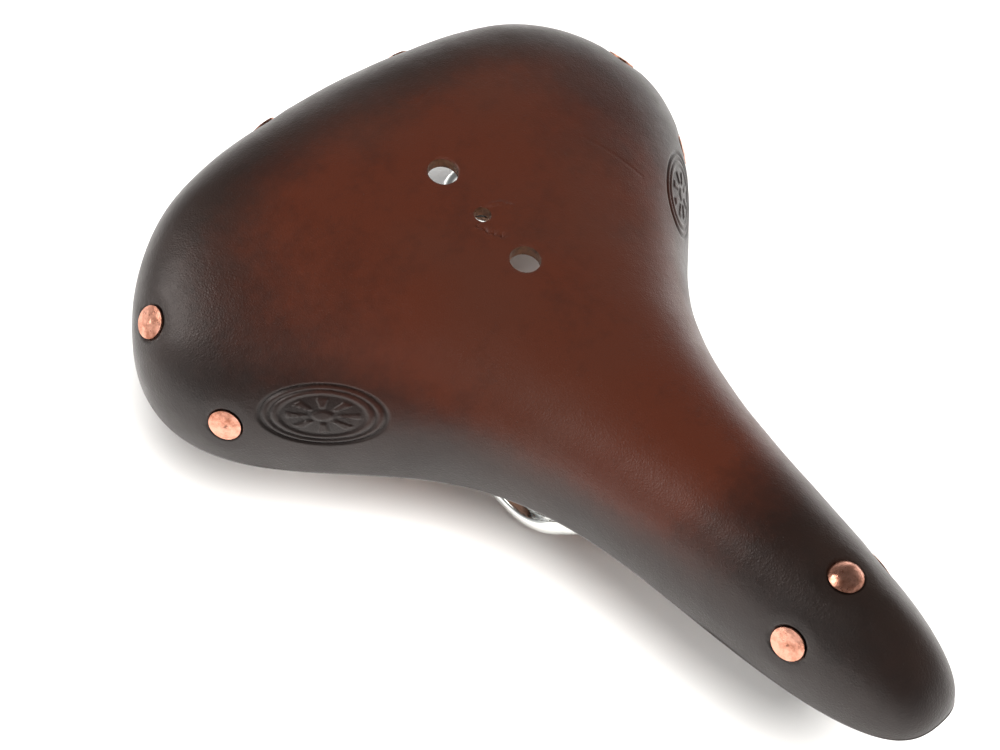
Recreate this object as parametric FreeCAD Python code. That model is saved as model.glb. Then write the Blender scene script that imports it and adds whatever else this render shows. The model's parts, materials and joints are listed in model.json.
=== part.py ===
import FreeCAD, Part

import math
import os

from FreeCAD import Placement, Rotation, Vector

# Leather bicycle saddle on a wire rail frame with two rear coil springs.
# Millimetres. +Z is up, the nose points to -Y and the rear to +Y, and X is the
# symmetry axis. The origin is under the middle of the saddle, at its lowest level.

# ---- leather top -----------------------------------------------------------
# Half of the closed lower edge, from the nose tip round +X to the rear centre.
# Each entry is one control point of a cubic B-spline: x, y, height of the edge,
# and how full the flank is above it (2 is an ellipse, more is boxier).
EDGE_POLES = [
    (0.0, -139.0, 57.0, 2.0),
    (13.0, -137.0, 54.0, 2.05),
    (21.0, -112.0, 48.0, 2.1),
    (26.0, -72.0, 47.0, 2.15),
    (30.0, -32.0, 47.0, 2.25),
    (45.0, 6.0, 45.0, 2.35),
    (79.0, 36.0, 42.0, 2.45),
    (103.0, 62.0, 41.0, 2.45),
    (108.0, 91.0, 51.0, 2.45),
    (81.0, 122.0, 69.0, 2.5),
    (40.0, 132.0, 71.0, 2.5),
    (0.0, 138.0, 60.0, 2.5),
]
LAST = len(EDGE_POLES) - 1
RING = EDGE_POLES + [(-x, y, z, p) for x, y, z, p in EDGE_POLES[-2:0:-1]]

SPINE_FRONT = -97.0
SPINE_REAR = 60.0
CROWN_MIDDLE = 5.0
CROWN_LENGTH = 132.0
CROWN = (84.5, 8.1, 9.3, 8.7, 0.7)

# Every part is moved by this along Y, so that the origin is under the middle.
CENTRE_SHIFT = 1.2

LEATHER = 4.0
TOP_ANGLE = math.radians(3.0)
EDGE_ANGLE = math.radians(90.0)

VENT_Y = (74.0, 55.0, 35.0)
VENT_R = (4.8, 2.7, 4.8)

# ---- rivets: place along the edge, angle down the flank (degrees) ----------
RIVET_HEAD_R = 5.0
RIVET_SINK = 0.85
DOMED_HEAD_H = 2.4
FLAT_HEAD_H = 0.55
FLAT_HEAD_RIM = 0.6
RIVET_SHANK_R = 2.4
RIVET_TAIL_R = 3.3
BURR_R = 4.2
BURR_T = 1.0
CORNER_RIVET = (8.1, 68.5)
FLANK_RIVET = (6.82, 75.5)
REAR_RIVET = (10.31, 75.0)
NOSE_SIDE_RIVET = (2.3, 60.0)
NOSE_TOP_RIVET_Y = -97.0

# ---- metal plates under the leather ----------------------------------------
PLATE_GAP = 0.1
PLATE_T = 2.0
CANTLE_START = 6.35
CANTLE_ANGLES = (58.0, 82.0)
SHELF_Z = 70.5
SHELF_T = 2.5
SHELF_DEPTH = 30.0
NOSE_PLATE_END = 2.75
NOSE_PLATE_ANGLE = 84.0

# ---- rail wire --------------------------------------------------------------
RAIL_R = 3.0
RAIL_X = 22.0
RAIL_BEND_Y = -4.0
RAIL_BEND_R = 24.0
RAIL_KNEE = (16.0, -26.0, 31.0)
RAIL_KNEE_R = 20.0
RAIL_NOSE_BEND_R = 30.0
ARCH_FOOT_R = 9.0
RAIL_NOSE_X = 7.5
RAIL_NOSE_Y = -84.0
RAIL_SLOPE = math.radians(23.0)
RAIL_CORNER_R = 7.0
ARCH_HEIGHT = 20.0
ARCH_FOOT = 23.0
ARCH_TOP = 7.0

# ---- spring bolts: heights of the stack from the floor up ---------------------
BOLT_X = 52.0
BOLT_Y = 103.0
BOLT_R = 3.0
BOLT_TOP = 26.2
DOME_R = 12.5
DOME_H = 4.5
SEAT_WASHER = (11.0, DOME_H, DOME_H + 1.2)
RAIL_Z = SEAT_WASHER[2] + RAIL_R
HAIRPIN_R = BOLT_R + RAIL_R + 0.2
RAIL_WASHER = (9.0, RAIL_Z + RAIL_R, RAIL_Z + RAIL_R + 1.0)
SPRING_WIRE_R = 2.5
SPRING_FLOOR = RAIL_WASHER[2] + SPRING_WIRE_R
SPRING_WASHER = (8.2, SPRING_FLOOR + SPRING_WIRE_R + 0.05, SPRING_FLOOR + SPRING_WIRE_R + 1.05)
NUT_AF = 10.0
NUT_H = 5.5

# ---- springs -------------------------------------------------------------------
SPRING_R = 18.5
SPRING_PITCH = 19.5
SPRING_TURNS = 2.0
SPRING_TAIL_RISE = 10.4
SPRING_LEAN = math.radians(5.0)
EYE_R = BOLT_R + SPRING_WIRE_R + 0.45
EYE_START = math.radians(-420.0)
EYE_END = math.radians(-150.0)
COIL_START = math.radians(-20.0)
POINTS_PER_TURN = 12

# ---- spring clips: bent wire under the top coil, nuts on the shelf --------------
CLIP_R = 2.2
CLIP_POINTS = [
    (64.5, 107.5, 77.0),
    (65.0, 109.0, 66.5),
    (67.3, 124.0, 60.5),
    (67.5, 125.7, 51.5),
    (44.5, 125.7, 57.0),
    (46.0, 117.0, 77.0),
]
CLIP_BENDS = [5.0, 4.0, 4.0, 4.5]
CLIP_NUT_AF = 7.0
CLIP_NUT_H = 3.0
CLIP_NUT_LIFT = 1.7

# ---- nose: shackle, tension screw and pivot --------------------------------------
SHACKLE_Y = -96.0
SHACKLE_Z = 47.75
SHACKLE_SIZE = (24.0, 12.0, 8.0)
RAIL_PLUG = 5.0
PIVOT_REACH = 24.0
PIVOT_R = 2.5
PIVOT_HALF = 12.6
EYE_BOSS_R = 6.0
EYE_BOSS_HALF = 4.0
RUNNING = 0.05
TENSION_R = 3.0
TENSION_TAIL = 16.0
TENSION_WASHER_T = 1.2
SPACER_R = 4.5


# ================================ leather surface ==============================
def crown(y):
    """Height of the ridge line at y."""
    e = (y - CROWN_MIDDLE) / CROWN_LENGTH
    return sum(c * e ** k for k, c in enumerate(CROWN))


def column_point(j, phi):
    """Point of control column j at the angle phi: 0 on the spine, 90 degrees at the edge."""
    x, y, z_edge, p = RING[j % len(RING)]
    foot = min(max(y, SPINE_FRONT), SPINE_REAR)
    out = math.sin(phi) ** (2.0 / p)
    down = 1.0 - max(math.cos(phi), 0.0) ** (2.0 / p)
    y_here = foot + (y - foot) * out
    return Vector(x * out, y_here, crown(y_here) - (crown(y) - z_edge) * down)


def top_point(t, phi):
    """Outer surface of the leather at t control points from the nose tip."""
    i = math.floor(t)
    f = t - i
    weights = (
        (1 - f) ** 3 / 6,
        (3 * f ** 3 - 6 * f ** 2 + 4) / 6,
        (-3 * f ** 3 + 3 * f ** 2 + 3 * f + 1) / 6,
        f ** 3 / 6,
    )
    total = Vector(0, 0, 0)
    for k, w in enumerate(weights):
        total = total + column_point(i - 1 + k, phi) * w
    return total


def top_normal(t, phi):
    """Unit normal of the outer surface, pointing out of the leather."""
    step = 0.004
    low = max(phi - step, 0.01)
    high = min(phi + step, EDGE_ANGLE)
    along = top_point(t + step, phi) - top_point(t - step, phi)
    down = top_point(t, high) - top_point(t, low)
    return down.cross(along).normalize()


def inside(t, phi, depth):
    """Point at a depth under the outer surface."""
    return top_point(t, phi) - top_normal(t, phi) * depth


def spread(low, high, count):
    return [low + (high - low) * k / (count - 1) for k in range(count)]


def column_poles(j, phis, depth):
    """Spline poles of one control column at a depth, with the loss at a tight turn made up."""
    points = []
    for phi in phis:
        here = top_normal(j, phi)
        turn = here.dot(top_normal(j - 1, phi)) + here.dot(top_normal(j + 1, phi))
        points.append(column_point(j, phi) - here * (depth * 6 / (4 + turn)))
    curve = Part.BSplineCurve()
    curve.interpolate(Points=points, Parameters=[float(k) for k in range(len(phis))])
    return curve


def half_skin(t_ends, phi_ends, depth, phi_count):
    """Spline surface of one half at a constant depth."""
    phis = spread(phi_ends[0], phi_ends[1], phi_count)
    columns = [column_poles(j, phis, depth) for j in range(-1, len(RING) - 1)]
    first = columns[0]
    ring_knots = [float(k) for k in range(len(RING) + 1)]
    skin = Part.BSplineSurface()
    skin.buildFromPolesMultsKnots(
        [c.getPoles() for c in columns], [1] * len(ring_knots), first.getMultiplicities(),
        ring_knots, first.getKnots(), True, False, 3, 3)
    skin.segment(t_ends[0], t_ends[1], 0.0, phi_count - 1.0)
    return skin


def borders(skin):
    """The four border edges of a skin: nose end, rear end, spine side, edge side."""
    u0, u1, v0, v1 = skin.bounds()
    return [skin.uIso(u0).toShape(), skin.uIso(u1).toShape(), skin.vIso(v0).toShape(), skin.vIso(v1).toShape()]


def mirrored(shape):
    return shape.mirror(Vector(0, 0, 0), Vector(1, 0, 0))


def closed_solid(faces):
    shell = Part.Compound(faces)
    shell.sewShape(0.01)
    solid = Part.Solid(shell.Shells[0])
    if solid.Volume < 0:
        solid.reverse()
    return solid


def skin_solid(t_ends, phi_ends, depths, phi_count, over_spine=True):
    """Symmetric wall between two depths. It crosses the spine, or only the rear centre."""
    outer = half_skin(t_ends, phi_ends, depths[0], phi_count)
    inner = half_skin(t_ends, phi_ends, depths[1], phi_count)
    faces = [outer.toShape(), inner.toShape()]
    out_edges = borders(outer)
    in_edges = borders(inner)
    for k, t in ((0, t_ends[0]), (1, t_ends[1])):
        if t not in (0.0, float(LAST)):
            faces.append(Part.makeRuledSurface(out_edges[k], in_edges[k]))
    faces.append(Part.makeRuledSurface(out_edges[3], in_edges[3]))
    if not over_spine:
        faces.append(Part.makeRuledSurface(out_edges[2], in_edges[2]))
    faces = faces + [mirrored(f) for f in faces]
    if over_spine:
        faces.append(Part.makeRuledSurface(out_edges[2], mirrored(out_edges[2])))
        faces.append(Part.makeRuledSurface(in_edges[2], mirrored(in_edges[2])))
        if t_ends[1] != float(LAST):
            corners = [skin.value(t_ends[1], 0.0) for skin in (outer, inner)]
            corners = corners + [Vector(-p.x, p.y, p.z) for p in reversed(corners)]
            faces.append(Part.Face(Part.makePolygon(corners + corners[:1])))
    return closed_solid(faces)


# ================================ small shapes ==================================
def placed(shape, position, direction):
    """Shape built along +Z, moved to a position and turned to a direction."""
    copy = shape.copy()
    copy.Placement = Placement(position, Rotation(Vector(0, 0, 1), direction))
    return copy


def rod(radius, low, high):
    return Part.makeCylinder(radius, high - low, Vector(0, 0, low))


def ring_washer(outer, hole, low, high):
    return rod(outer, low, high).cut(rod(hole, low - 1, high + 1))


def dome(radius, height, base):
    """Spherical cap that stands on z = base. A negative height hangs down."""
    reach = abs(height)
    ball_r = (radius ** 2 + reach ** 2) / (2 * reach)
    side = 1 if height > 0 else -1
    ball = Part.makeSphere(ball_r, Vector(0, 0, base + side * (reach - ball_r)))
    box_low = base if height > 0 else base - reach
    slab = Part.makeBox(2 * radius + 2, 2 * radius + 2, reach, Vector(-radius - 1, -radius - 1, box_low))
    return ball.common(slab)


def hexagon(across, low, high):
    corner = across / math.sqrt(3)
    points = [Vector(corner * math.cos(k * math.pi / 3), corner * math.sin(k * math.pi / 3), low) for k in range(7)]
    prism = Part.Face(Part.makePolygon(points)).extrude(Vector(0, 0, high - low))
    cone_r = corner * 0.93
    top = Part.makeCone(cone_r + (high - low), cone_r, high - low, Vector(0, 0, low))
    return prism.common(top)


def rounded_path(points, radii):
    """Wire of straight runs joined by tangent arcs, one radius for each inner point."""
    edges = []
    start = points[0]
    for k in range(1, len(points) - 1):
        before = (points[k - 1] - points[k]).normalize()
        after = (points[k + 1] - points[k]).normalize()
        half = before.getAngle(after) / 2
        reach = radii[k - 1] / math.tan(half)
        a = points[k] + before * reach
        b = points[k] + after * reach
        bisector = (before + after).normalize()
        centre = points[k] + bisector * (radii[k - 1] / math.sin(half))
        middle = centre - bisector * radii[k - 1]
        if (a - start).Length > 1e-3:
            edges.append(Part.makeLine(start, a))
        edges.append(Part.Arc(a, middle, b).toShape())
        start = b
    edges.append(Part.makeLine(start, points[-1]))
    return Part.Wire(edges)


def wire_solid(path, radius):
    """Round wire swept along a path."""
    first = path.OrderedEdges[0]
    start = first.valueAt(first.FirstParameter)
    direction = first.tangentAt(first.FirstParameter)
    profile = Part.Wire(Part.makeCircle(radius, start, direction))
    return path.makePipeShell([profile], True, False)


# ================================ rivets ========================================
def rivet_body(stack, domed):
    """Rivet along +Z, with the leather's surface at z = 0 and the stack under it."""
    if domed:
        head = dome(RIVET_HEAD_R, DOMED_HEAD_H, -RIVET_SINK)
    else:
        head = rod(RIVET_HEAD_R, -RIVET_SINK, FLAT_HEAD_RIM - RIVET_SINK)
        head = head.fuse(dome(RIVET_HEAD_R, FLAT_HEAD_H, FLAT_HEAD_RIM - RIVET_SINK))
    shank = rod(RIVET_SHANK_R, -stack - BURR_T - 0.8, -RIVET_SINK + 0.1)
    tail = dome(RIVET_TAIL_R, -1.3, -stack - BURR_T)
    return head.fuse([shank, tail])


def rivet_tools(stack):
    """What a rivet takes out of the leather and out of the plate under it."""
    seat = rod(RIVET_HEAD_R + 0.25, -RIVET_SINK, 6)
    hole = rod(RIVET_SHANK_R + 0.05, -stack - 4, 6)
    spot = rod(BURR_R + 0.4, -stack - 3, -stack)
    return seat.fuse(hole), hole.fuse(spot)


def flank_seat(place, side):
    """Position and outward direction of a rivet on one flank; side is 1 or -1."""
    t, angle = place
    phi = math.radians(angle)
    position = top_point(t, phi)
    normal = top_normal(t, phi)
    return Vector(side * position.x, position.y, position.z), Vector(side * normal.x, normal.y, normal.z)


STACK = LEATHER + PLATE_GAP + PLATE_T - 0.25
SEATS = {
    "rear_rivets": [flank_seat(REAR_RIVET, s) for s in (1, -1)],
    "corner_rivets": [flank_seat(CORNER_RIVET, s) for s in (1, -1)],
    "flank_rivets": [flank_seat(FLANK_RIVET, s) for s in (1, -1)],
    "nose_side_rivets": [flank_seat(NOSE_SIDE_RIVET, s) for s in (1, -1)],
    "nose_top_rivet": [(Vector(0, NOSE_TOP_RIVET_Y, crown(NOSE_TOP_RIVET_Y)), Vector(0, 0, 1))],
}


def all_seats():
    return [seat for seats in SEATS.values() for seat in seats]


# ================================ seat parts =====================================
def leather_cover():
    body = skin_solid((0.0, float(LAST)), (TOP_ANGLE, EDGE_ANGLE), (0.0, LEATHER), 14)
    leather_tool = rivet_tools(STACK)[0]
    for position, normal in all_seats():
        body = body.cut(placed(leather_tool, position, normal))
    for y, radius in zip(VENT_Y, VENT_R):
        body = body.cut(Part.makeCylinder(radius, 40, Vector(0, y, crown(y) - 20)))
    return body


def drilled(plate):
    plate_tool = rivet_tools(STACK)[1]
    for position, normal in all_seats():
        plate = plate.cut(placed(plate_tool, position, normal))
    return plate


def angle_at_height(t, z):
    """Angle down the flank where the surface is at height z."""
    low, high = 0.1, EDGE_ANGLE
    for _ in range(40):
        middle = (low + high) / 2
        if top_point(t, middle).z > z:
            low = middle
        else:
            high = middle
    return low


def cantle_shelf():
    """Flat crescent at the foot of the cantle plate that carries the spring clips."""
    depth = LEATHER + PLATE_GAP + PLATE_T / 2
    rim = []
    for t in spread(8.6, float(LAST), 9):
        p = inside(t, angle_at_height(t, SHELF_Z + SHELF_T), depth)
        rim.append(Vector(p.x, p.y, SHELF_Z))
    rim = rim + [Vector(-p.x, p.y, p.z) for p in reversed(rim[:-1])]
    curve = Part.BSplineCurve()
    curve.interpolate(rim)
    front_y = rim[len(rim) // 2].y - SHELF_DEPTH
    right = rim[0]
    left = rim[-1]
    front = Part.Arc(left, Vector(0, front_y, SHELF_Z), right).toShape()
    outline = Part.Wire([curve.toShape(), front])
    return Part.Face(outline).extrude(Vector(0, 0, SHELF_T))


def cantle_plate():
    depths = (LEATHER + PLATE_GAP, LEATHER + PLATE_GAP + PLATE_T)
    phis = tuple(math.radians(a) for a in CANTLE_ANGLES)
    rim = skin_solid((CANTLE_START, float(LAST)), phis, depths, 5, over_spine=False)
    plate = drilled(rim.fuse(cantle_shelf()))
    for start, direction in clip_ends():
        hole = placed(rod(CLIP_R + 0.1, -12, 12), start, direction)
        plate = plate.cut(hole).cut(mirrored(hole))
    return plate.removeSplitter()


def nose_plate():
    depths = (LEATHER + PLATE_GAP, LEATHER + PLATE_GAP + PLATE_T)
    phis = (TOP_ANGLE, math.radians(NOSE_PLATE_ANGLE))
    plate = drilled(skin_solid((0.0, NOSE_PLATE_END), phis, depths, 9))
    return plate.cut(across(rod(PIVOT_R, -40, 40), PIVOT))


# ================================ rails ===========================================
def rail_half_points():
    """Path of the +X half of the rail wire, from the nose tip to the top of the rear arch."""
    nose_z = SHACKLE.z - (RAIL_NOSE_Y - SHACKLE_Y) * math.tan(RAIL_SLOPE)
    tip = SHACKLE + NOSEWARD * (RAIL_PLUG - SHACKLE_SIZE[2] / 2)
    front = BOLT_Y - HAIRPIN_R
    rear = BOLT_Y + HAIRPIN_R
    outer = BOLT_X + HAIRPIN_R
    return [
        Vector(RAIL_NOSE_X, tip.y, tip.z),
        Vector(RAIL_NOSE_X, RAIL_NOSE_Y, nose_z),
        Vector(*RAIL_KNEE),
        Vector(RAIL_X, RAIL_BEND_Y, RAIL_Z),
        Vector(RAIL_X, front, RAIL_Z),
        Vector(outer, front, RAIL_Z),
        Vector(outer, rear, RAIL_Z),
        Vector(ARCH_FOOT, rear, RAIL_Z),
        Vector(ARCH_TOP, rear, RAIL_Z + ARCH_HEIGHT),
    ]


def rail_wire():
    half = rail_half_points()
    points = half + [Vector(-p.x, p.y, p.z) for p in reversed(half)]
    hairpin = [RAIL_CORNER_R, HAIRPIN_R, HAIRPIN_R, RAIL_CORNER_R]
    bends = [RAIL_NOSE_BEND_R, RAIL_KNEE_R, RAIL_BEND_R] + hairpin + [ARCH_FOOT_R]
    return wire_solid(rounded_path(points, bends + bends[::-1]), RAIL_R)


# ================================ springs =========================================
def spring_point(angle):
    """Centre of the spring wire. Angle 0 is on the outer side, and it climbs towards the rear."""
    if angle < EYE_END:
        radius, climb = EYE_R, 0.0
    elif angle < COIL_START:
        share = (angle - EYE_END) / (COIL_START - EYE_END)
        radius, climb = EYE_R + (SPRING_R - EYE_R) * share, 0.0
    else:
        radius = SPRING_R
        full = SPRING_TURNS * 2 * math.pi
        climb = SPRING_PITCH * max(min(angle, full), 0.0) / (2 * math.pi)
        climb += SPRING_TAIL_RISE * max(angle - full, 0.0) / math.pi
    tilt = radius * math.cos(angle) * math.sin(SPRING_LEAN) * (radius - EYE_R) / (SPRING_R - EYE_R)
    x = BOLT_X + radius * math.cos(angle) + climb * math.tan(SPRING_LEAN)
    return Vector(x, BOLT_Y + radius * math.sin(angle), SPRING_FLOOR + climb - tilt)


def tube(points, radius, around):
    """Round wire along a row of points, as two smooth half shells with flat ends."""
    share = 3.0 / (2.0 + math.cos(2 * math.pi / around))
    turns = [2 * math.pi * m / around for m in range(around)]
    poles = []
    for k, point in enumerate(points):
        along = (points[min(k + 1, len(points) - 1)] - points[max(k - 1, 0)]).normalize()
        side = along.cross(Vector(0, 0, 1)).normalize()
        up = side.cross(along)
        poles.append([point + (side * math.cos(a) + up * math.sin(a)) * (radius * share) for a in turns])
    spans = len(points) - 3
    halves = []
    for low in (0.0, around / 2.0):
        half = Part.BSplineSurface()
        half.buildFromPolesMultsKnots(
            poles, [4] + [1] * (spans - 1) + [4], [1] * (around + 1),
            [float(k) for k in range(spans + 1)], [float(k) for k in range(around + 1)], False, True, 3, 3)
        half.segment(0.0, float(spans), low, low + around / 2.0)
        halves.append(half)
    caps = []
    for end in (0.0, float(spans)):
        caps.append(Part.Face(Part.Wire([half.uIso(end).toShape() for half in halves])))
    return closed_solid([half.toShape() for half in halves] + caps)


def spring():
    end = (SPRING_TURNS + 0.5) * 2 * math.pi
    count = int((end - EYE_START) / (2 * math.pi) * POINTS_PER_TURN)
    return tube([spring_point(a) for a in spread(EYE_START, end, count)], SPRING_WIRE_R, 10)


def clip_path():
    return rounded_path([Vector(*p) for p in CLIP_POINTS], CLIP_BENDS)


def clip_ends():
    """Where each leg of a clip crosses the top of the shelf, and the leg's direction."""
    ends = []
    for top, below in ((CLIP_POINTS[0], CLIP_POINTS[1]), (CLIP_POINTS[-1], CLIP_POINTS[-2])):
        high = Vector(*top)
        direction = (high - Vector(*below)).normalize()
        share = (high.z - SHELF_Z - SHELF_T) / direction.z
        ends.append((high - direction * share, direction))
    return ends


def clip_nuts():
    nut = hexagon(CLIP_NUT_AF, CLIP_NUT_LIFT, CLIP_NUT_LIFT + CLIP_NUT_H).cut(rod(CLIP_R + 0.02, -1, 9))
    nuts = [placed(nut, start, direction) for start, direction in clip_ends()]
    return Part.Compound(nuts + [mirrored(n) for n in nuts])


# ================================ spring bolts ======================================
def on_bolt(shape):
    return shape.translated(Vector(BOLT_X, BOLT_Y, 0))


def spring_bolt():
    cap = dome(DOME_R, -DOME_H, DOME_H)
    return on_bolt(cap.fuse(rod(BOLT_R, DOME_H - 0.5, BOLT_TOP)))


def bolt_washer(size):
    return on_bolt(ring_washer(size[0], BOLT_R, size[1], size[2]))


def spring_nut():
    nut = hexagon(NUT_AF, SPRING_WASHER[2], SPRING_WASHER[2] + NUT_H)
    return on_bolt(nut.cut(rod(BOLT_R, 0, 60)))


# ================================ nose =============================================
NOSEWARD = Vector(0, -math.cos(RAIL_SLOPE), math.sin(RAIL_SLOPE))
SHACKLE = Vector(0, SHACKLE_Y, SHACKLE_Z)
PIVOT = SHACKLE + NOSEWARD * PIVOT_REACH


def across(shape, position):
    """Shape built along +Z, laid along X through a position."""
    return placed(shape, position, Vector(1, 0, 0))


def along_screw(shape):
    """Shape built along +Z from the middle of the shackle, laid along the tension screw."""
    return placed(shape, SHACKLE, NOSEWARD)


def nose_shackle():
    width, height, thick = SHACKLE_SIZE
    block = Part.makeBox(width, height, thick, Vector(-width / 2, -height / 2, -thick / 2))
    upright = [e for e in block.Edges if abs(e.tangentAt(e.FirstParameter).z) > 0.9]
    block = block.makeFillet(4.0, upright)
    block = block.cut(rod(TENSION_R + 0.1, -20, 20))
    for side in (1, -1):
        plug = rod(RAIL_R, -20, RAIL_PLUG - thick / 2)
        block = block.cut(plug.translated(Vector(side * RAIL_NOSE_X, 0, 0)))
    return along_screw(block)


def tension_bolt():
    shank = along_screw(rod(TENSION_R, -TENSION_TAIL, PIVOT_REACH - 2))
    eye = across(rod(EYE_BOSS_R, -EYE_BOSS_HALF, EYE_BOSS_HALF), PIVOT)
    hole = across(rod(PIVOT_R + RUNNING, -20, 20), PIVOT)
    return shank.fuse(eye).cut(hole)


def tension_washer():
    low = SHACKLE_SIZE[2] / 2
    return along_screw(ring_washer(6.0, TENSION_R + RUNNING, low, low + TENSION_WASHER_T))


def tension_nut():
    low = SHACKLE_SIZE[2] / 2 + TENSION_WASHER_T + RUNNING
    return along_screw(hexagon(NUT_AF, low, low + NUT_H).cut(rod(TENSION_R + RUNNING, 0, 60)))


def pivot_spacers():
    ring = ring_washer(SPACER_R, PIVOT_R, EYE_BOSS_HALF + 0.3, EYE_BOSS_HALF + 4.0)
    right = across(ring, PIVOT)
    return Part.Compound([right, mirrored(right)])


# ================================ output ===========================================
def rivet_node(name):
    rivet = rivet_body(STACK, name == "nose_top_rivet")
    return Part.Compound([placed(rivet, position, normal) for position, normal in SEATS[name]])


def rivet_burrs():
    burr = ring_washer(BURR_R, RIVET_SHANK_R, -STACK - BURR_T, -STACK)
    return Part.Compound([placed(burr, position, normal) for position, normal in all_seats()])


def save(name, shape):
    shape.translated(Vector(0, CENTRE_SHIFT, 0)).exportStep("parts/" + name + ".step")


def save_pair(name, shape):
    """The rider's left is +X, and the right is its mirror image."""
    save(name + "_left", shape)
    save(name + "_right", mirrored(shape))


def main():
    os.makedirs("parts", exist_ok=True)
    save("leather_cover", leather_cover())
    save("cantle_plate", cantle_plate())
    save("nose_plate", nose_plate())
    for name in SEATS:
        save(name, rivet_node(name))
    save("rivet_burrs", rivet_burrs())
    save("rail_wire", rail_wire())
    save_pair("spring", spring())
    save_pair("spring_clip", wire_solid(clip_path(), CLIP_R))
    save("clip_nuts", clip_nuts())
    save_pair("spring_bolt", spring_bolt())
    save_pair("seat_washer", bolt_washer(SEAT_WASHER))
    save_pair("rail_washer", bolt_washer(RAIL_WASHER))
    save_pair("spring_washer", bolt_washer(SPRING_WASHER))
    save_pair("spring_nut", spring_nut())
    save("nose_shackle", nose_shackle())
    save("tension_bolt", tension_bolt())
    save("tension_washer", tension_washer())
    save("tension_nut", tension_nut())
    save("pivot_pin", across(rod(PIVOT_R, -PIVOT_HALF, PIVOT_HALF), PIVOT))
    save("pivot_spacers", pivot_spacers())


main()
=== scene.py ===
import json
import math

import bmesh
import bpy
import numpy as np
from mathutils import Matrix, Vector
from mathutils.kdtree import KDTree


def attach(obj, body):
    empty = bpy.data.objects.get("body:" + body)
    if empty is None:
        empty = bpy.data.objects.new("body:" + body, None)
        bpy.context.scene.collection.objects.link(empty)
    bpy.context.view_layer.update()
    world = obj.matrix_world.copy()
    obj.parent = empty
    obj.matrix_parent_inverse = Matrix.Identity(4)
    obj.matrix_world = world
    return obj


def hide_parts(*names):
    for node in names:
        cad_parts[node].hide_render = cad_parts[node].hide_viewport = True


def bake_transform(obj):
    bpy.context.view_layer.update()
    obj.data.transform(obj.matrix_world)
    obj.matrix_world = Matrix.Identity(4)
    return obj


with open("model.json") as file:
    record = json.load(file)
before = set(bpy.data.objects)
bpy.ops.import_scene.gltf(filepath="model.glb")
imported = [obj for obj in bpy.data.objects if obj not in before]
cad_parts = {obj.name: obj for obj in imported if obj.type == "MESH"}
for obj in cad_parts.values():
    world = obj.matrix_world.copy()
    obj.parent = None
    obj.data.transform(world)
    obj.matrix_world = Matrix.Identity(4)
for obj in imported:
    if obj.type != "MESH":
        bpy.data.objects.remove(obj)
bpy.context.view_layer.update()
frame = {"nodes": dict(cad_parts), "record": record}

# Leather saddle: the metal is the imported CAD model, and the leather top is a detailed
# mesh on the same control columns as the CAD solid. Lengths are in millimetres until a
# mesh is made. Y is as the CAD script draws it, before it moves the whole part by
# CENTRE_SHIFT to put the origin under its middle.
MM = 0.001
CENTRE_SHIFT = 1.2

# ---- the leather surface, as in the CAD model ---------------------------------------
# Control columns of the lower edge on the +X side, from the nose to the rear: the foot
# x, y, z of each, and the power that squares its section.
EDGE_POLES = np.array([
    (0.0, -139.0, 57.0, 2.0),
    (13.0, -137.0, 54.0, 2.05),
    (21.0, -112.0, 48.0, 2.1),
    (26.0, -72.0, 47.0, 2.15),
    (30.0, -32.0, 47.0, 2.25),
    (45.0, 6.0, 45.0, 2.35),
    (79.0, 36.0, 42.0, 2.45),
    (103.0, 62.0, 41.0, 2.45),
    (108.0, 91.0, 51.0, 2.45),
    (81.0, 122.0, 69.0, 2.5),
    (40.0, 132.0, 71.0, 2.5),
    (0.0, 138.0, 60.0, 2.5),
])
RING = np.vstack([EDGE_POLES, EDGE_POLES[-2:0:-1] * (-1, 1, 1, 1)])
COLUMNS = len(RING)
SPINE_FRONT = -97.0
SPINE_REAR = 60.0
# Height of the ridge: a polynomial in the distance from CROWN_MIDDLE over CROWN_LENGTH.
CROWN = (84.5, 8.1, 9.3, 8.7, 0.7)
CROWN_MIDDLE = 5.0
CROWN_LENGTH = 132.0
THICK = 4.0
QUARTER = math.pi / 2
DIRECTION_STEP = 0.004
LEAST_ANGLE = 0.01

# Everything with a z above this is on top of the saddle, not on its flank.
TOP_SIDE_Z = 60.0
VENTS = ((74.0, 4.8), (55.0, 2.7), (35.0, 4.8))  # y and radius
RIVETS = ((8.1, 68.5), (6.82, 75.5), (10.31, 75.0), (2.3, 60.0))  # column and degrees down
NOSE_RIVET_Y = -97.0
# Depth round each vent and rivet, and the distances between which it fades out: from
# the rim of a vent, or from the middle of a rivet.
VENT_SINK, VENT_SINK_FADE = 0.45, (-0.2, 0.7)
VENT_DISH, VENT_DISH_FADE = 0.08, (0.5, 4.0)
RIVET_SINK, RIVET_SINK_FADE = 1.0, (4.9, 5.8)
RIVET_DISH, RIVET_DISH_FADE = 0.25, (5.2, 9.5)
WAVE_HEIGHT = 0.16
RIPPLE_HEIGHT = 0.07
# Lift, width and the line in x and y of each wrinkle. A negative lift is a scratch.
CREASES = (
    (0.55, 0.60, ((4.2, 56.3), (7.0, 55.1), (9.2, 52.4))),
    (-0.90, 0.60, ((-3.8, 52.6), (-2.4, 48.6), (0.6, 44.8))),
    (0.35, 0.65, ((-4.9, 52.2), (-3.5, 47.9), (-0.4, 44.0))),
    (-0.12, 0.35, ((17.5, 102.0), (10.0, 99.6))),
    (-0.10, 0.40, ((48.0, 62.0), (53.0, 53.0), (57.0, 43.0))),
    (-0.10, 0.35, ((-21.0, 66.0), (-27.0, 58.0))),
    (-0.09, 0.35, ((9.0, 22.0), (3.0, 12.0), (-1.0, -1.0))),
    (-0.08, 0.35, ((-40.0, 96.0), (-52.0, 90.0))),
)
EMBLEM = (6.10, 63.25)  # column and degrees down
EMBLEM_HALF = (18.6, 9.4)
EMBLEM_TURN = math.radians(8.0)
EMBLEM_REACH = 34.0
EMBLEM_RAYS = 8


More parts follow.
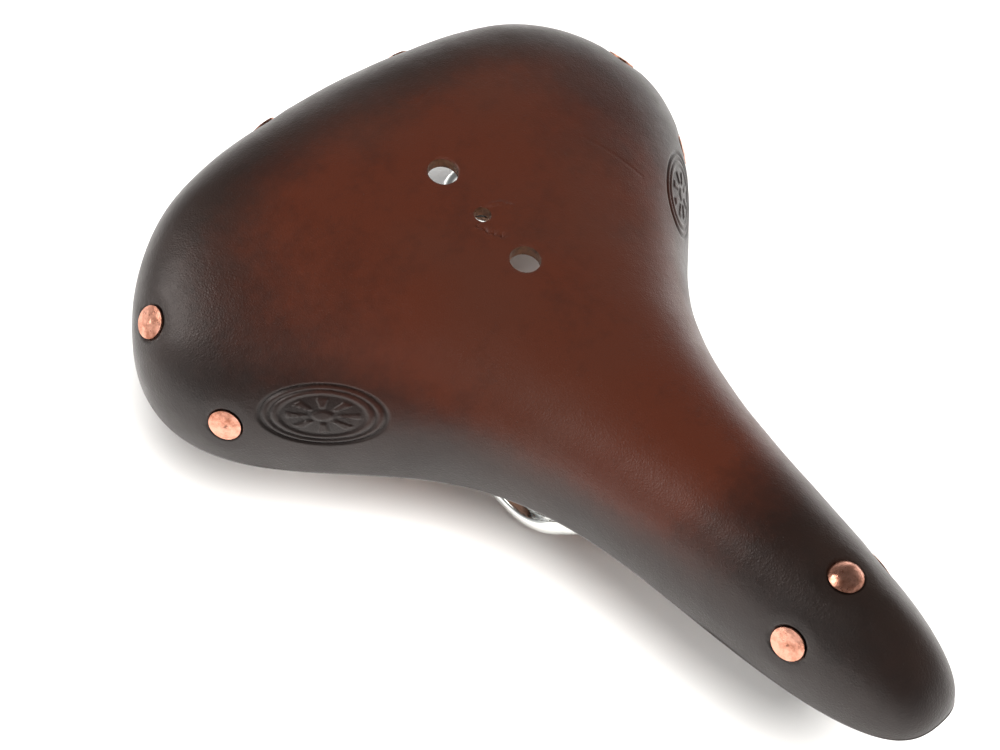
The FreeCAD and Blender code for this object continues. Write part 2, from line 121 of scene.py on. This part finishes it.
def crown(y):
    """Height of the ridge along the middle of the saddle."""
    e = (y - CROWN_MIDDLE) / CROWN_LENGTH
    return sum(c * e ** k for k, c in enumerate(CROWN))


def column(j, phi):
    """Point of control column j: phi is 0 on the ridge and QUARTER at the lower edge."""
    x, y, z, p = (RING[j % COLUMNS, k] for k in range(4))
    foot = np.clip(y, SPINE_FRONT, SPINE_REAR)
    out = np.sin(phi) ** (2 / p)
    down = 1 - np.maximum(np.cos(phi), 0) ** (2 / p)
    y_here = foot + (y - foot) * out
    return np.stack([x * out, y_here, crown(y_here) - (crown(y) - z) * down], -1)


def top_point(t, phi):
    """Point of the outer side: a cubic B-spline round the columns at each phi."""
    t, phi = np.broadcast_arrays(np.asarray(t, float), np.asarray(phi, float))
    i = np.floor(t).astype(int)
    f = t - i
    weights = (
        (1 - f) ** 3 / 6,
        (3 * f ** 3 - 6 * f ** 2 + 4) / 6,
        (-3 * f ** 3 + 3 * f ** 2 + 3 * f + 1) / 6,
        f ** 3 / 6,
    )
    return sum(w[..., None] * column(i - 1 + k, phi) for k, w in enumerate(weights))


def unit(v):
    return v / np.linalg.norm(v, axis=-1, keepdims=True)


def directions(t, phi):
    """Unit vectors at a point: along the ring, down the flank and out of the leather."""
    low = np.maximum(phi - DIRECTION_STEP, LEAST_ANGLE)
    high = np.minimum(np.maximum(phi, LEAST_ANGLE) + DIRECTION_STEP, QUARTER)
    middle = (low + high) / 2
    before = top_point(t - DIRECTION_STEP, middle)
    after = top_point(t + DIRECTION_STEP, middle)
    along = unit(after - before)
    down = unit(top_point(t, high) - top_point(t, low))
    out = unit(np.cross(down, along))
    return along, down, out


def smooth(low, high, value):
    """Smooth step from 0 at low to 1 at high."""
    s = np.clip((value - low) / (high - low), 0, 1)
    return s * s * (3 - 2 * s)


# ---- relief of the outer side ----------------------------------------------------------
def rivet_seats():
    """Places on the outer side where a rivet head sits."""
    seats = [np.array([0.0, NOSE_RIVET_Y, crown(NOSE_RIVET_Y)])]
    for t, angle in RIVETS:
        p = top_point(t, math.radians(angle))
        seats += [p, p * (-1, 1, 1)]
    return seats


def relief(p):
    """Height added along the normal at the points p."""
    x, y = p[..., 0], p[..., 1]
    on_top = p[..., 2] > TOP_SIDE_Z
    height = WAVE_HEIGHT * np.sin(x / 11 + 1.3) * np.sin(y / 17 + 0.4)
    height += RIPPLE_HEIGHT * np.sin(x / 4.7 + y / 9.1) * np.sin(y / 6.3 - x / 13)
    for seat in rivet_seats():
        d = np.linalg.norm(p - seat, axis=-1)
        height -= RIVET_SINK * (1 - smooth(*RIVET_SINK_FADE, d))
        height -= RIVET_DISH * (1 - smooth(*RIVET_DISH_FADE, d))
    for vent_y, radius in VENTS:
        d = np.hypot(x, y - vent_y) - radius
        height -= on_top * VENT_SINK * (1 - smooth(*VENT_SINK_FADE, d))
        height -= on_top * VENT_DISH * (1 - smooth(*VENT_DISH_FADE, d))
    height += creases(x, y) * on_top
    for side in (1, -1):
        height += emblem_relief(p, side)
    return height


def creases(x, y):
    """Small wrinkles and scratches that use has left, each along a short bent line."""
    height = np.zeros_like(x)
    for lift, width, line in CREASES:
        gap = np.full_like(x, 99.0)
        for (ax, ay), (bx, by) in zip(line[:-1], line[1:]):
            dx, dy = bx - ax, by - ay
            s = np.clip(((x - ax) * dx + (y - ay) * dy) / (dx * dx + dy * dy), 0, 1)
            gap = np.minimum(gap, np.hypot(x - ax - s * dx, y - ay - s * dy))
        height += lift * np.exp(-(gap / width) ** 2)
    return height


def emblem_frame(side):
    """Centre, long direction and short direction of the stamp on one flank."""
    t, angle = EMBLEM
    phi = math.radians(angle)
    centre = top_point(t, phi)
    along, _, out = directions(np.array(t), np.array(phi))
    across = np.cross(along, out)
    across *= np.sign(-across[2])
    long_way = along * math.cos(EMBLEM_TURN) + across * math.sin(EMBLEM_TURN)
    short_way = across * math.cos(EMBLEM_TURN) - along * math.sin(EMBLEM_TURN)
    flip = np.array([side, 1, 1])
    return centre * flip, long_way * flip, short_way * flip


def emblem_relief(p, side):
    """A plain oval pressed into the flank: two grooves round a sunk field of rays."""
    centre, along, down = emblem_frame(side)
    q = p - centre
    near = np.linalg.norm(q, axis=-1) < EMBLEM_REACH
    u = (q @ along) / EMBLEM_HALF[0]
    v = (q @ down) / EMBLEM_HALF[1]
    r = np.sqrt(u * u + v * v)
    turn = np.arctan2(v, u)
    groove = -0.65 * np.exp(-((r - 1.0) / 0.040) ** 2)
    groove += -0.45 * np.exp(-((r - 0.84) / 0.035) ** 2)
    field = -0.45 * (1 - smooth(0.66, 0.74, r))
    ring = smooth(0.22, 0.30, r) * (1 - smooth(0.54, 0.62, r))
    rays = ring * smooth(0.1, 0.5, np.cos(EMBLEM_RAYS * turn))
    boss = 1 - smooth(0.12, 0.20, r)
    return near * (groove + field + 0.4 * np.maximum(rays, boss))


# ---- the mesh of the leather -------------------------------------------------------------
AROUND = 1040
ROWS_OUT = 230
ROWS_IN = 40
EDGE_ROUND = 1.3
INNER_ROUND = 0.6
EDGE_STEPS = 6
EDGE_GAP = 0.25
CUT_ROWS = 3  # rows of the rounded edge that are already cut leather
FLESH_ROWS = 2  # rows of the inner edge that are already flesh side
WELD = 0.02
WELD_SLIVER = 0.001
CUTTER_DEPTH = 30.0
SHARP_ANGLE = math.radians(42)
GRAIN, FLESH, CUT, BORE = range(4)  # material slots of the leather


def last_angle(t):
    """Angle at which the outer side hands over to the rounded edge."""
    low = np.full(t.shape, 1.0)
    high = np.full(t.shape, QUARTER)
    end = top_point(t, high)
    for _ in range(30):
        middle = (low + high) / 2
        way = np.linalg.norm(top_point(t, middle) - end, axis=-1)
        far = way > EDGE_ROUND + EDGE_GAP
        low = np.where(far, middle, low)
        high = np.where(far, high, middle)
    return low


def spine_normal(y):
    """Normal of the ridge."""
    slope = (crown(y + 0.1) - crown(y - 0.1)) / 0.2
    return unit(np.stack([np.zeros_like(y), -slope, np.ones_like(y)], -1))


def normals(t, phi, p):
    """Normals of the outer side, led over to the ridge's own where the columns meet."""
    out = directions(t, phi)[2]
    flat = spine_normal(p[..., 1])
    share = smooth(0.0, 0.09, phi)[..., None]
    return unit(flat * (1 - share) + out * share)


def ring_stations():
    """Places round the ring, closer together where the flank has fine relief."""
    fine = np.linspace(0, COLUMNS, 8001)
    density = np.ones_like(fine)
    for t in (EMBLEM[0], COLUMNS - EMBLEM[0]):
        density += 2.0 * (1 - smooth(0.55, 0.95, np.abs(fine - t)))
    total = np.concatenate([[0], np.cumsum((density[1:] + density[:-1]) / 2)])
    return np.interp(np.arange(AROUND) * (total[-1] / AROUND), total, fine)


def leather_rows():
    """Rows of points from the ridge over the edge and back up inside.

    Also their tones, and the rows where the cut edge and the flesh side start.
    """
    t = ring_stations()
    end = last_angle(t)
    share = np.linspace(0, 1, ROWS_OUT)[:, None]
    phi = end[None, :] * share
    tt = np.broadcast_to(t, phi.shape)
    outer = top_point(tt, phi)
    steps = np.linalg.norm(np.diff(outer, axis=0), axis=-1)
    length = np.vstack([np.zeros(AROUND), np.cumsum(steps, axis=0)])
    edge = length[-1] - length + EDGE_ROUND
    outer = outer + normals(tt, phi, outer) * relief(outer)[..., None]
    shade = tone(outer, edge)

    rim = np.full(AROUND, QUARTER)
    corner = top_point(t, rim)
    down, out = directions(t, rim)[1:]
    rows = list(outer)
    shades = list(shade)
    turns = [QUARTER * k / EDGE_STEPS for k in range(EDGE_STEPS + 1)]
    for a in turns:
        up = EDGE_ROUND * (1 - math.sin(a))
        inward = EDGE_ROUND * (1 - math.cos(a))
        rows.append(corner - down * up - out * inward)
    cut_start = len(rows) - CUT_ROWS
    for a in turns:
        up = INNER_ROUND * (1 - math.cos(a))
        inward = THICK - INNER_ROUND * (1 - math.sin(a))
        rows.append(corner - down * up - out * inward)
    inner_start = len(rows) - FLESH_ROWS
    for s in np.linspace(1, 0, ROWS_IN):
        angle = end * s
        p = top_point(t, angle)
        rows.append(p - normals(t, angle, p) * THICK)
    shades += [shade[-1]] * (len(rows) - len(shades))
    return np.array(rows), np.array(shades), cut_start, inner_start


def tone(p, edge):
    """1 where the leather is warm, 0 where it is darkest. It grows darker towards the lower
    edge, the rear corners, the rear and the nose tip, and in the stamps: at the edge this
    is partly the leather's own colour and partly painted shade, at the nose tip and in the
    stamps' grooves it is painted shade.
    """
    y = p[..., 1]
    reach = 26 + 30 * smooth(-20, 60, y)
    # Darker towards the lower edge: partly the leather's own colour, partly painted shade
    # on the flanks.
    warm = smooth(0.10, 1.0, edge / reach)
    corner = np.exp(-(((np.abs(p[..., 0]) - 88) / 34) ** 2 + ((y - 90) / 42) ** 2))
    # Painted shade: the nose tip is darkened almost to black.
    nose_tip_shade = 1 - smooth(-100, -38, y)
    rear = smooth(90, 134, y)
    # Painted shade in the stamp's grooves and sunk field, darker where they sink deeper.
    pressed = sum(np.maximum(-emblem_relief(p, side), 0) for side in (1, -1))
    tone_with_shade = warm * (1 - 0.5 * corner) * (1 - 0.92 * nose_tip_shade) * (1 - 0.7 * rear)
    return np.clip(tone_with_shade - 0.5 * pressed, 0, 1)


def leather_mesh():
    """The closed skin of the hide, without the vents."""
    rows, shades, cut_start, inner_start = leather_rows()
    count = len(rows)
    points = rows.reshape(-1, 3).copy()
    points[:, 1] += CENTRE_SHIFT
    points *= MM
    r, c = np.meshgrid(np.arange(count - 1), np.arange(AROUND), indexing="ij")
    n = (c + 1) % AROUND
    here, below = r * AROUND, (r + 1) * AROUND
    quads = np.stack([here + c, below + c, below + n, here + n], -1)
    outside = np.where(r >= cut_start, CUT, GRAIN)
    kind = np.where(r >= inner_start, FLESH, outside).reshape(-1)
    mesh = bpy.data.meshes.new("leather_top")
    mesh.from_pydata(points.tolist(), [], quads.reshape(-1, 4).tolist())
    mesh.polygons.foreach_set("material_index", kind.astype(np.int32))
    layer = mesh.attributes.new("tone", "FLOAT", "POINT")
    layer.data.foreach_set("value", shades.reshape(-1).astype(np.float32))
    body = bmesh.new()
    body.from_mesh(mesh)
    bmesh.ops.remove_doubles(body, verts=body.verts, dist=WELD * MM)
    bmesh.ops.dissolve_degenerate(body, dist=WELD_SLIVER * MM, edges=body.edges)
    bmesh.ops.recalc_face_normals(body, faces=body.faces)
    body.to_mesh(mesh)
    body.free()
    return mesh


def make_object(name, mesh):
    obj = bpy.data.objects.new(name, mesh)
    bpy.context.scene.collection.objects.link(obj)
    return obj


def vent_cutter():
    """The three punches, as one object."""
    body = bmesh.new()
    for y, radius in VENTS:
        place = Matrix.Translation((0, (y + CENTRE_SHIFT) * MM, crown(y) * MM))
        bmesh.ops.create_cone(
            body, cap_ends=True, segments=96, radius1=radius * MM, radius2=radius * MM,
            depth=CUTTER_DEPTH * MM, matrix=place)
    mesh = bpy.data.meshes.new("vent_cutter")
    body.to_mesh(mesh)
    body.free()
    for face in mesh.polygons:
        face.material_index = BORE
    return make_object("vent_cutter", mesh)


def cut_vents(obj):
    """Punches the vents and gives every vertex its tone again."""
    before = obj.data
    tree = KDTree(len(before.vertices))
    values = np.zeros(len(before.vertices), np.float32)
    before.attributes["tone"].data.foreach_get("value", values)
    for k, vertex in enumerate(before.vertices):
        tree.insert(vertex.co, k)
    tree.balance()
    cutter = vent_cutter()
    for slot_material in obj.data.materials:
        cutter.data.materials.append(slot_material)
    punch = obj.modifiers.new("vents", "BOOLEAN")
    punch.operation = "DIFFERENCE"
    punch.object = cutter
    punch.solver = "EXACT"
    graph = bpy.context.evaluated_depsgraph_get()
    after = bpy.data.meshes.new_from_object(obj.evaluated_get(graph))
    obj.modifiers.clear()
    obj.data = after
    bpy.data.objects.remove(cutter)
    if "tone" in after.attributes:
        after.attributes.remove(after.attributes["tone"])
    layer = after.attributes.new("tone", "FLOAT", "POINT")
    found = np.array([values[tree.find(v.co)[1]] for v in after.vertices], np.float32)
    layer.data.foreach_set("value", found)
    after.shade_smooth()
    after.set_sharp_from_angle(angle=SHARP_ANGLE)


# ---- materials ---------------------------------------------------------------------------
# Sockets of a Mix node that mixes colours.
MIX_SHARE, MIX_FIRST, MIX_SECOND, MIX_RESULT = 0, 6, 7, 2


class Paint:
    """Builds one material, node by node."""

    def __init__(self, name):
        self.material = bpy.data.materials.new(name)
        self.material.use_nodes = True
        self.tree = self.material.node_tree
        self.tree.nodes.clear()
        self.shader = self.add("ShaderNodeBsdfPrincipled")
        output = self.add("ShaderNodeOutputMaterial")
        self.link(self.shader, "BSDF", output, "Surface")
        self.coords = self.add("ShaderNodeTexCoord")

    def add(self, kind, **values):
        node = self.tree.nodes.new(kind)
        for name, value in values.items():
            setattr(node, name, value)
        return node

    def link(self, source, out, target, into):
        self.tree.links.new(source.outputs[out], target.inputs[into])

    def put(self, **values):
        """Sets inputs of the shader, with _ for each space in a name."""
        for name, value in values.items():
            self.shader.inputs[name.replace("_", " ")].default_value = value

    def noise(self, scale, detail=3.0, rough=0.55, distort=0.0):
        node = self.add("ShaderNodeTexNoise")
        node.inputs["Scale"].default_value = scale
        node.inputs["Detail"].default_value = detail
        node.inputs["Roughness"].default_value = rough
        node.inputs["Distortion"].default_value = distort
        self.link(self.coords, "Object", node, "Vector")
        return node

    def cells(self, scale, feature="F1"):
        node = self.add("ShaderNodeTexVoronoi", feature=feature)
        node.inputs["Scale"].default_value = scale
        self.link(self.coords, "Object", node, "Vector")
        return node

    def spread(self, source, out, low, high, to_low, to_high):
        """Maps low to high onto to_low to to_high, and holds the ends."""
        node = self.add("ShaderNodeMapRange")
        node.inputs["From Min"].default_value = low
        node.inputs["From Max"].default_value = high
        node.inputs["To Min"].default_value = to_low
        node.inputs["To Max"].default_value = to_high
        self.link(source, out, node, "Value")
        return node

    def plus(self, a, a_out, b, b_out):
        node = self.add("ShaderNodeMath", operation="ADD")
        self.link(a, a_out, node, 0)
        self.link(b, b_out, node, 1)
        return node

    def ramp(self, source, out, stops):
        node = self.add("ShaderNodeValToRGB")
        marks = node.color_ramp.elements
        while len(marks) < len(stops):
            marks.new(0.5)
        for mark, (place, colour) in zip(marks, stops):
            mark.position = place
            mark.color = (*colour, 1.0)
        self.link(source, out, node, "Fac")
        return node

    def blend(self, share, first, first_out, colour):
        """The first node's colour, drawn towards a second colour by the share."""
        node = self.add("ShaderNodeMix", data_type="RGBA")
        self.link(share, "Result", node, MIX_SHARE)
        self.link(first, first_out, node, MIX_FIRST)
        node.inputs[MIX_SECOND].default_value = (*colour, 1.0)
        return node

    def bump(self, source, out, strength, distance, before=None):
        node = self.add("ShaderNodeBump")
        node.inputs["Strength"].default_value = strength
        node.inputs["Distance"].default_value = distance
        self.link(source, out, node, "Height")
        if before:
            self.link(before, "Normal", node, "Normal")
        return node


def leather_paint():
    """Waxed grain: dark at the edges, warm in the middle, with dust, pores and hair pits.
    The tone it reads holds painted shade besides the leather's own colour, and the darkened
    hair pits are painted shade.
    """
    paint = Paint("leather_smooth")
    tone_with_shade = paint.add("ShaderNodeAttribute", attribute_name="tone")
    clouds = paint.spread(paint.noise(26.0, 4.0, 0.6), "Fac", 0.3, 0.7, -0.12, 0.12)
    blotch = paint.spread(paint.noise(190.0, 8.0, 0.75), "Fac", 0.3, 0.7, -0.10, 0.10)
    mix = paint.plus(tone_with_shade, "Fac", clouds, "Result")
    mix = paint.plus(mix, "Value", blotch, "Result")
    colour = paint.ramp(mix, "Value", (
        (0.0, (0.0036, 0.0025, 0.0023)),
        (0.35, (0.0085, 0.0038, 0.0028)),
        (0.7, (0.024, 0.0064, 0.0034)),
        (1.0, (0.048, 0.0105, 0.0044)),
    ))
    dust = paint.spread(paint.noise(11.0, 3.0, 0.5), "Fac", 0.44, 0.70, 0.0, 0.40)
    dusty = paint.blend(dust, colour, "Color", (0.030, 0.017, 0.012))
    hairs = paint.cells(620.0)
    pits = paint.spread(hairs, "Distance", 0.02, 0.11, 1.0, 0.0)
    # Painted shade in the hair pits: each pit is darkened towards near-black.
    dark = paint.spread(hairs, "Distance", 0.02, 0.11, 0.55, 0.0)
    pit_shaded = paint.blend(dark, dusty, MIX_RESULT, (0.008, 0.005, 0.004))
    paint.link(pit_shaded, MIX_RESULT, paint.shader, "Base Color")
    rough = paint.spread(paint.noise(75.0, 6.0, 0.7), "Fac", 0.3, 0.7, 0.34, 0.48)
    paint.link(rough, "Result", paint.shader, "Roughness")
    pores = paint.bump(paint.cells(1150.0, "DISTANCE_TO_EDGE"), "Distance", 0.30, 0.00028)
    prick = paint.bump(pits, "Result", 0.35, -0.00025, pores)
    skin = paint.bump(paint.noise(800.0, 5.0, 0.65), "Fac", 0.32, 0.00026, prick)
    waves = paint.bump(paint.noise(140.0, 3.0, 0.5), "Fac", 0.24, 0.0006, skin)
    paint.link(waves, "Normal", paint.shader, "Normal")
    paint.put(Specular_IOR_Level=0.5, Specular_Tint=(1.0, 0.89, 0.86, 1.0))
    paint.put(Coat_Weight=0.12, Coat_Roughness=0.26)
    return paint.material


def raw_leather(name, mottle, dark, light, fibre, strength, distance, **finish):
    """Leather without its grain: mottled between two colours, with a nap of fibres."""
    paint = Paint(name)
    colour = paint.ramp(paint.noise(mottle, 6.0, 0.7), "Fac", ((0.3, dark), (0.7, light)))
    paint.link(colour, "Color", paint.shader, "Base Color")
    nap = paint.bump(paint.noise(fibre, 5.0, 0.7), "Fac", strength, distance)
    paint.link(nap, "Normal", paint.shader, "Normal")
    paint.put(**finish)
    return paint.material


def leather_paints():
    """Materials of the leather, in the order GRAIN, FLESH, CUT, BORE."""
    flesh = raw_leather(
        "leather_flesh_side", 260.0, (0.23, 0.115, 0.075), (0.38, 0.215, 0.150),
        1700.0, 0.55, 0.0005, Roughness=0.85, Specular_IOR_Level=0.2, Sheen_Weight=0.35)
    cut = raw_leather(
        "leather_cut_edge", 500.0, (0.020, 0.012, 0.009), (0.050, 0.028, 0.019),
        1200.0, 0.35, 0.0003, Roughness=0.8, Specular_IOR_Level=0.15)
    # The vent bores are raw leather darkened well below the flesh side: partly its own
    # colour, partly painted shade inside the vents.
    bore = raw_leather(
        "leather_bore_raw_and_shaded", 420.0, (0.030, 0.012, 0.006), (0.120, 0.046, 0.018),
        1400.0, 0.5, 0.0003, Roughness=0.7)
    return leather_paint(), flesh, cut, bore


def metal_paint(name, colour, rough, dent, scale, tarnish=None):
    """Bare metal: rough is its range, dent the strength of its small dents."""
    paint = Paint(name)
    if tarnish:
        mottle = paint.noise(scale * 0.6, 5.0, 0.65)
        tint = paint.ramp(mottle, "Fac", ((0.36, tarnish), (0.58, colour)))
        paint.link(tint, "Color", paint.shader, "Base Color")
    else:
        paint.put(Base_Color=(*colour, 1.0))
    polish = paint.spread(paint.noise(scale, 5.0, 0.65), "Fac", 0.3, 0.7, *rough)
    paint.link(polish, "Result", paint.shader, "Roughness")
    if dent:
        dents = paint.bump(paint.noise(scale * 1.6, 3.0, 0.5), "Fac", dent, 0.0003)
        paint.link(dents, "Normal", paint.shader, "Normal")
    paint.put(Metallic=1.0)
    return paint.material


def painted_steel():
    paint = Paint("stoved_black_steel")
    rough = paint.spread(paint.noise(300.0, 4.0, 0.6), "Fac", 0.3, 0.7, 0.32, 0.48)
    paint.link(rough, "Result", paint.shader, "Roughness")
    paint.put(Base_Color=(0.018, 0.018, 0.019, 1.0))
    return paint.material


def give(names, material):
    """Puts a material on CAD nodes."""
    for name in names:
        obj = frame["nodes"][name]
        obj.data.materials.clear()
        obj.data.materials.append(material)


def paint_metal():
    """Paints every CAD node by the material slot that the record gives it."""
    slots = {row["node"]: row["material_slot"] for row in frame["record"]["subparts"]}
    paints = {
        "copper": metal_paint(
            "copper_bare", (0.80, 0.40, 0.29), rough=(0.20, 0.44), dent=0.55, scale=380.0,
            tarnish=(0.40, 0.16, 0.10)),
        "plate_steel": painted_steel(),
        "chrome": metal_paint(
            "chrome_bright", (0.70, 0.71, 0.69), rough=(0.06, 0.12), dent=0.0, scale=120.0),
        "zinc_steel": metal_paint(
            "zinc_dull", (0.52, 0.52, 0.50), rough=(0.28, 0.42), dent=0.10, scale=420.0),
    }
    for slot_name, material in paints.items():
        give([node for node, slot in slots.items() if slot == slot_name], material)


def coil_springs():
    """Copies of the two springs as coils of their own, baked in place where the springs
    stand; the CAD springs are hidden.
    """
    for side in ("left", "right"):
        node = frame["nodes"]["spring_" + side]
        coil = make_object("coil_" + side, node.data.copy())
        coil.matrix_world = node.matrix_world
        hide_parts("spring_" + side)
        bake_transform(coil)


# ---- build -------------------------------------------------------------------------------
leather = make_object("leather_top", leather_mesh())
for paint in leather_paints():
    leather.data.materials.append(paint)
cut_vents(leather)
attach(leather, "seat_top")
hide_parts("leather_cover")
paint_metal()
coil_springs()

# ---- studio, in metres -------------------------------------------------------------------
FLOOR_HALF = 6.0
FLOOR_Z = -0.0003
LIGHT_AIM = (0.0, 0.0, 0.06)
# Height above the horizon, from 0 to 1 overhead, and how bright the tent is there.
TENT = ((0.0, 0.85), (0.09, 0.8), (0.26, 0.22), (1.0, 0.13))


def studio_floor():
    body = bmesh.new()
    bmesh.ops.create_grid(body, x_segments=1, y_segments=1, size=FLOOR_HALF)
    mesh = bpy.data.meshes.new("studio_floor")
    body.to_mesh(mesh)
    body.free()
    floor = make_object("studio_floor", mesh)
    floor.location.z = FLOOR_Z
    paint = Paint("studio_floor")
    paint.put(Base_Color=(0.90, 0.90, 0.90, 1.0), Roughness=0.9, Specular_IOR_Level=0.1)
    mesh.materials.append(paint.material)


def aimed_light(name, kind, place, power, colour):
    """A light that shines from a place at the saddle."""
    light = bpy.data.lights.new(name, kind)
    light.energy = power
    light.color = colour
    obj = bpy.data.objects.new(name, light)
    bpy.context.scene.collection.objects.link(obj)
    obj.location = place
    ray = Vector(LIGHT_AIM) - Vector(place)
    obj.rotation_euler = ray.to_track_quat("-Z", "Y").to_euler()
    return obj


def studio_world():
    """A light tent: bright round the horizon and dim overhead."""
    world = bpy.data.worlds.new("studio")
    bpy.context.scene.world = world
    world.use_nodes = True
    tree = world.node_tree
    sky = tree.nodes["Background"]
    coords = tree.nodes.new("ShaderNodeTexCoord")
    split = tree.nodes.new("ShaderNodeSeparateXYZ")
    ramp = tree.nodes.new("ShaderNodeValToRGB")
    marks = ramp.color_ramp.elements
    while len(marks) < len(TENT):
        marks.new(0.5)
    for mark, (place, level) in zip(marks, TENT):
        mark.position = place
        mark.color = (level, level, level, 1.0)
    tree.links.new(coords.outputs["Generated"], split.inputs["Vector"])
    tree.links.new(split.outputs["Z"], ramp.inputs["Fac"])
    tree.links.new(ramp.outputs["Color"], sky.inputs["Color"])
    sky.inputs["Strength"].default_value = 1.0


def studio_light():
    studio_world()
    key = aimed_light("key", "AREA", (-1.0, 0.75, 0.95), 10.0, (1.0, 0.985, 0.96))
    key.data.shape = "RECTANGLE"
    key.data.size = 0.9
    key.data.size_y = 0.6
    over = aimed_light("over", "SUN", (-0.1, -0.6, 1.5), 5.6, (1.0, 0.98, 0.95))
    over.data.angle = math.radians(31)
    over.visible_glossy = False


# The fitted camera: where it stands, which way it looks and where its right is.
CAMERA_AT = (-0.2346, -0.1902 + CENTRE_SHIFT * MM, 0.4572)
CAMERA_VIEW = (0.4315, 0.4237, -0.7965)
CAMERA_RIGHT = (0.7592, -0.6475, 0.0669)
FOCAL_MM = 59.53
SENSOR_MM = 36.0


def camera():
    lens = bpy.data.cameras.new("camera")
    lens.sensor_fit = "HORIZONTAL"
    lens.sensor_width = SENSOR_MM
    lens.lens = FOCAL_MM
    lens.clip_start = 0.01
    obj = bpy.data.objects.new("camera", lens)
    bpy.context.scene.collection.objects.link(obj)
    back = -Vector(CAMERA_VIEW).normalized()
    right = Vector(CAMERA_RIGHT).normalized()
    up = back.cross(right).normalized()
    turn = Matrix((right, up, back)).transposed().to_4x4()
    obj.matrix_world = Matrix.Translation(CAMERA_AT) @ turn
    bpy.context.scene.camera = obj


studio_floor()
studio_light()
camera()
bpy.context.scene.view_settings.view_transform = "Standard"
